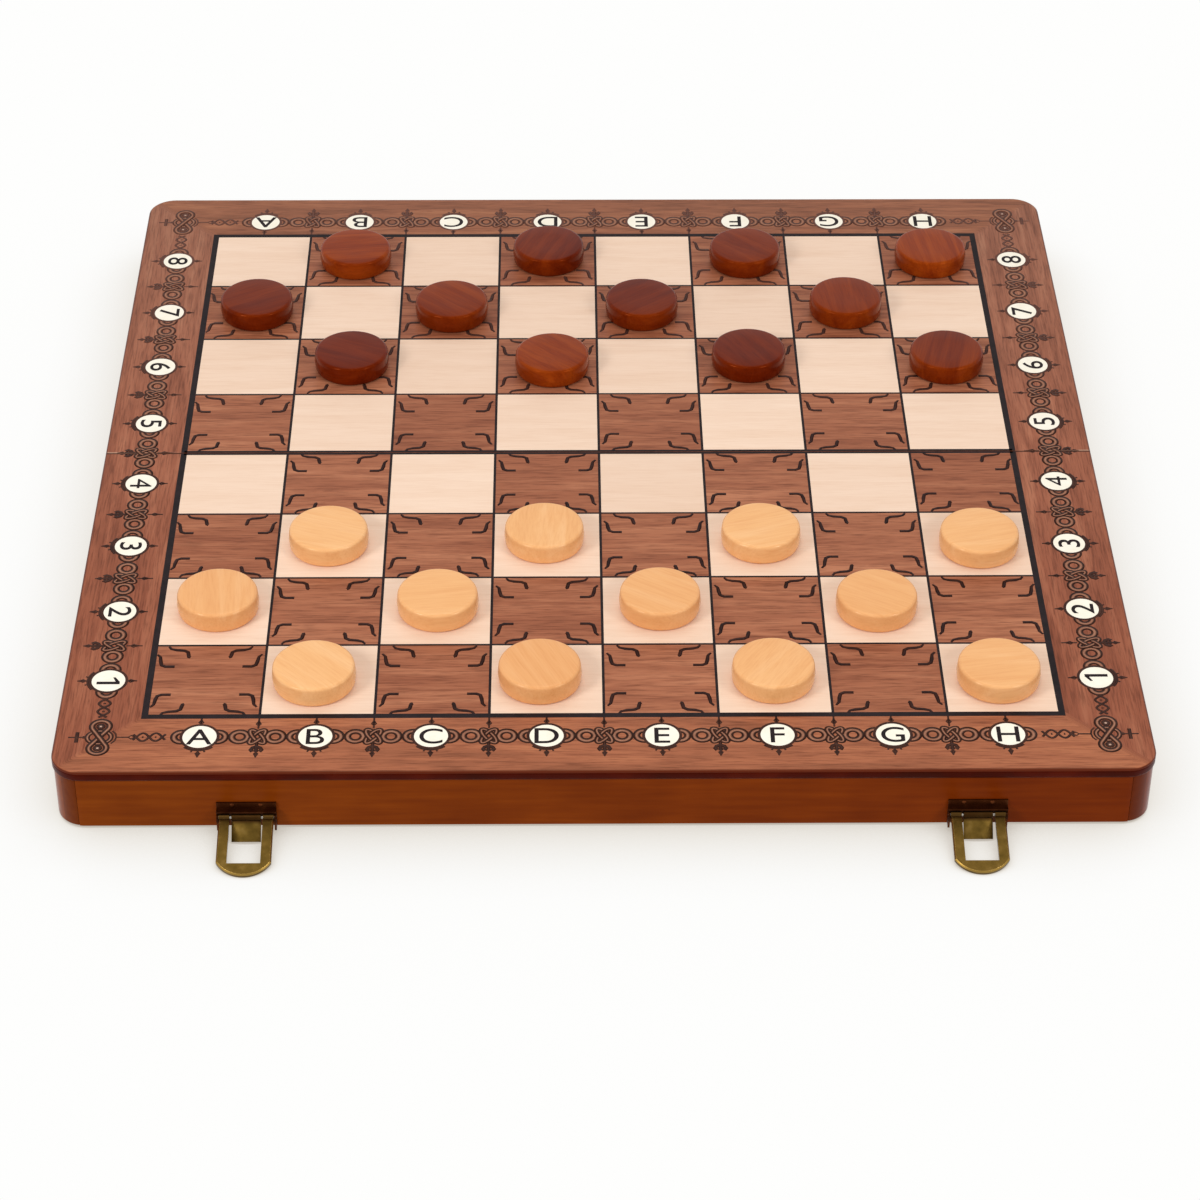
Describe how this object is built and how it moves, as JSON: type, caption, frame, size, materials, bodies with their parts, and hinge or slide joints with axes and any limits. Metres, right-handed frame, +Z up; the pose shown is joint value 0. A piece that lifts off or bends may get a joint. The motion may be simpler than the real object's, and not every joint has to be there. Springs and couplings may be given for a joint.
{
  "type": "folding board game box",
  "caption": "Folding wooden board box opened flat as a chess and draughts board, with turned draughtsmen, butt hinges and swinging loop latches.",
  "frame": {"origin": "middle of the fold on the hinge axis, in the plane of the rims that the open box stands on", "axes": "+X along the fold, left to right from the near side; +Y from the near half to the far half; +Z up out of the playing side"},
  "size_m": [0.39, 0.4199, 0.0344],
  "materials": {
    "printed_face": "printed and varnished",
    "panel_edge": "dark stained, varnished",
    "rail_wood": "stained, gloss varnish",
    "lining": "printed, satin",
    "hinge_brass": "aged",
    "antique_bronze": "antiqued, rubbed edges",
    "steel": "plain",
    "light_man_wood": "clear varnish",
    "dark_man_wood": "stained, gloss varnish"
  },
  "bodies": {
    "near_half": {"near_panel": "panel_edge", "near_face_sheet": "printed_face", "near_front_rail": "rail_wood", "near_left_rail": "rail_wood", "near_right_rail": "rail_wood", "near_spine_rail": "rail_wood", "near_lining": "lining", "hinge_leaves_near": "hinge_brass", "hinge_pins": "steel", "hinge_screws_near": "steel", "latch_base_left": "antique_bronze", "latch_base_right": "antique_bronze", "latch_pins": "steel", "latch_nails": "antique_bronze"},
    "far_half": {"far_panel": "panel_edge", "far_face_sheet": "printed_face", "far_rear_rail": "rail_wood", "far_left_rail": "rail_wood", "far_right_rail": "rail_wood", "far_spine_rail": "rail_wood", "far_lining": "lining", "hinge_leaves_far": "hinge_brass", "hinge_screws_far": "steel", "catch_left": "antique_bronze", "catch_right": "antique_bronze", "catch_nails": "antique_bronze"},
    "latch_loop_left": {"latch_loop_left": "antique_bronze"},
    "latch_loop_right": {"latch_loop_right": "antique_bronze"},
    "latch_tab_left": {"latch_tab_left": "antique_bronze"},
    "latch_tab_right": {"latch_tab_right": "antique_bronze"},
    "light_man_b1": {"light_man_b1": "light_man_wood"},
    "light_man_d1": {"light_man_d1": "light_man_wood"},
    "light_man_f1": {"light_man_f1": "light_man_wood"},
    "light_man_h1": {"light_man_h1": "light_man_wood"},
    "light_man_a2": {"light_man_a2": "light_man_wood"},
    "light_man_c2": {"light_man_c2": "light_man_wood"},
    "light_man_e2": {"light_man_e2": "light_man_wood"},
    "light_man_g2": {"light_man_g2": "light_man_wood"},
    "light_man_b3": {"light_man_b3": "light_man_wood"},
    "light_man_d3": {"light_man_d3": "light_man_wood"},
    "light_man_f3": {"light_man_f3": "light_man_wood"},
    "light_man_h3": {"light_man_h3": "light_man_wood"},
    "dark_man_b6": {"dark_man_b6": "dark_man_wood"},
    "dark_man_d6": {"dark_man_d6": "dark_man_wood"},
    "dark_man_f6": {"dark_man_f6": "dark_man_wood"},
    "dark_man_h6": {"dark_man_h6": "dark_man_wood"},
    "dark_man_a7": {"dark_man_a7": "dark_man_wood"},
    "dark_man_c7": {"dark_man_c7": "dark_man_wood"},
    "dark_man_e7": {"dark_man_e7": "dark_man_wood"},
    "dark_man_g7": {"dark_man_g7": "dark_man_wood"},
    "dark_man_b8": {"dark_man_b8": "dark_man_wood"},
    "dark_man_d8": {"dark_man_d8": "dark_man_wood"},
    "dark_man_f8": {"dark_man_f8": "dark_man_wood"},
    "dark_man_h8": {"dark_man_h8": "dark_man_wood"}
  },
  "joints": [
    {"name": "fold", "type": "hinge", "parent": "near_half", "child": "far_half", "pos_m": [0, 0, 0], "axis": [-1, 0, 0], "range_deg": [0, 180]},
    {"name": "latch_loop_left", "type": "hinge", "parent": "near_half", "child": "latch_loop_left", "pos_m": [-0.1265, -0.197, 0.006], "axis": [1, 0, 0], "range_deg": [-60, 75]},
    {"name": "latch_loop_right", "type": "hinge", "parent": "near_half", "child": "latch_loop_right", "pos_m": [0.132, -0.197, 0.006], "axis": [1, 0, 0], "range_deg": [-60, 75]},
    {"name": "latch_tab_left", "type": "hinge", "parent": "near_half", "child": "latch_tab_left", "pos_m": [-0.1265, -0.197, 0.006], "axis": [1, 0, 0], "range_deg": [-105, 40]},
    {"name": "latch_tab_right", "type": "hinge", "parent": "near_half", "child": "latch_tab_right", "pos_m": [0.132, -0.197, 0.006], "axis": [1, 0, 0], "range_deg": [-105, 40]},
    {"name": "lift_dark_a7", "type": "slide", "parent": "far_half", "child": "dark_man_a7", "axis": [0, 0, 1], "range_m": [0, 0.06]},
    {"name": "lift_dark_b6", "type": "slide", "parent": "far_half", "child": "dark_man_b6", "axis": [0, 0, 1], "range_m": [0, 0.06]},
    {"name": "lift_dark_b8", "type": "slide", "parent": "far_half", "child": "dark_man_b8", "axis": [0, 0, 1], "range_m": [0, 0.06]},
    {"name": "lift_dark_c7", "type": "slide", "parent": "far_half", "child": "dark_man_c7", "axis": [0, 0, 1], "range_m": [0, 0.06]},
    {"name": "lift_dark_d6", "type": "slide", "parent": "far_half", "child": "dark_man_d6", "axis": [0, 0, 1], "range_m": [0, 0.06]},
    {"name": "lift_dark_d8", "type": "slide", "parent": "far_half", "child": "dark_man_d8", "axis": [0, 0, 1], "range_m": [0, 0.06]},
    {"name": "lift_dark_e7", "type": "slide", "parent": "far_half", "child": "dark_man_e7", "axis": [0, 0, 1], "range_m": [0, 0.06]},
    {"name": "lift_dark_f6", "type": "slide", "parent": "far_half", "child": "dark_man_f6", "axis": [0, 0, 1], "range_m": [0, 0.06]},
    {"name": "lift_dark_f8", "type": "slide", "parent": "far_half", "child": "dark_man_f8", "axis": [0, 0, 1], "range_m": [0, 0.06]},
    {"name": "lift_dark_g7", "type": "slide", "parent": "far_half", "child": "dark_man_g7", "axis": [0, 0, 1], "range_m": [0, 0.06]},
    {"name": "lift_dark_h6", "type": "slide", "parent": "far_half", "child": "dark_man_h6", "axis": [0, 0, 1], "range_m": [0, 0.06]},
    {"name": "lift_dark_h8", "type": "slide", "parent": "far_half", "child": "dark_man_h8", "axis": [0, 0, 1], "range_m": [0, 0.06]},
    {"name": "lift_light_a2", "type": "slide", "parent": "near_half", "child": "light_man_a2", "axis": [0, 0, 1], "range_m": [0, 0.06]},
    {"name": "lift_light_b1", "type": "slide", "parent": "near_half", "child": "light_man_b1", "axis": [0, 0, 1], "range_m": [0, 0.06]},
    {"name": "lift_light_b3", "type": "slide", "parent": "near_half", "child": "light_man_b3", "axis": [0, 0, 1], "range_m": [0, 0.06]},
    {"name": "lift_light_c2", "type": "slide", "parent": "near_half", "child": "light_man_c2", "axis": [0, 0, 1], "range_m": [0, 0.06]},
    {"name": "lift_light_d1", "type": "slide", "parent": "near_half", "child": "light_man_d1", "axis": [0, 0, 1], "range_m": [0, 0.06]},
    {"name": "lift_light_d3", "type": "slide", "parent": "near_half", "child": "light_man_d3", "axis": [0, 0, 1], "range_m": [0, 0.06]},
    {"name": "lift_light_e2", "type": "slide", "parent": "near_half", "child": "light_man_e2", "axis": [0, 0, 1], "range_m": [0, 0.06]},
    {"name": "lift_light_f1", "type": "slide", "parent": "near_half", "child": "light_man_f1", "axis": [0, 0, 1], "range_m": [0, 0.06]},
    {"name": "lift_light_f3", "type": "slide", "parent": "near_half", "child": "light_man_f3", "axis": [0, 0, 1], "range_m": [0, 0.06]},
    {"name": "lift_light_g2", "type": "slide", "parent": "near_half", "child": "light_man_g2", "axis": [0, 0, 1], "range_m": [0, 0.06]},
    {"name": "lift_light_h1", "type": "slide", "parent": "near_half", "child": "light_man_h1", "axis": [0, 0, 1], "range_m": [0, 0.06]},
    {"name": "lift_light_h3", "type": "slide", "parent": "near_half", "child": "light_man_h3", "axis": [0, 0, 1], "range_m": [0, 0.06]}
  ]
}
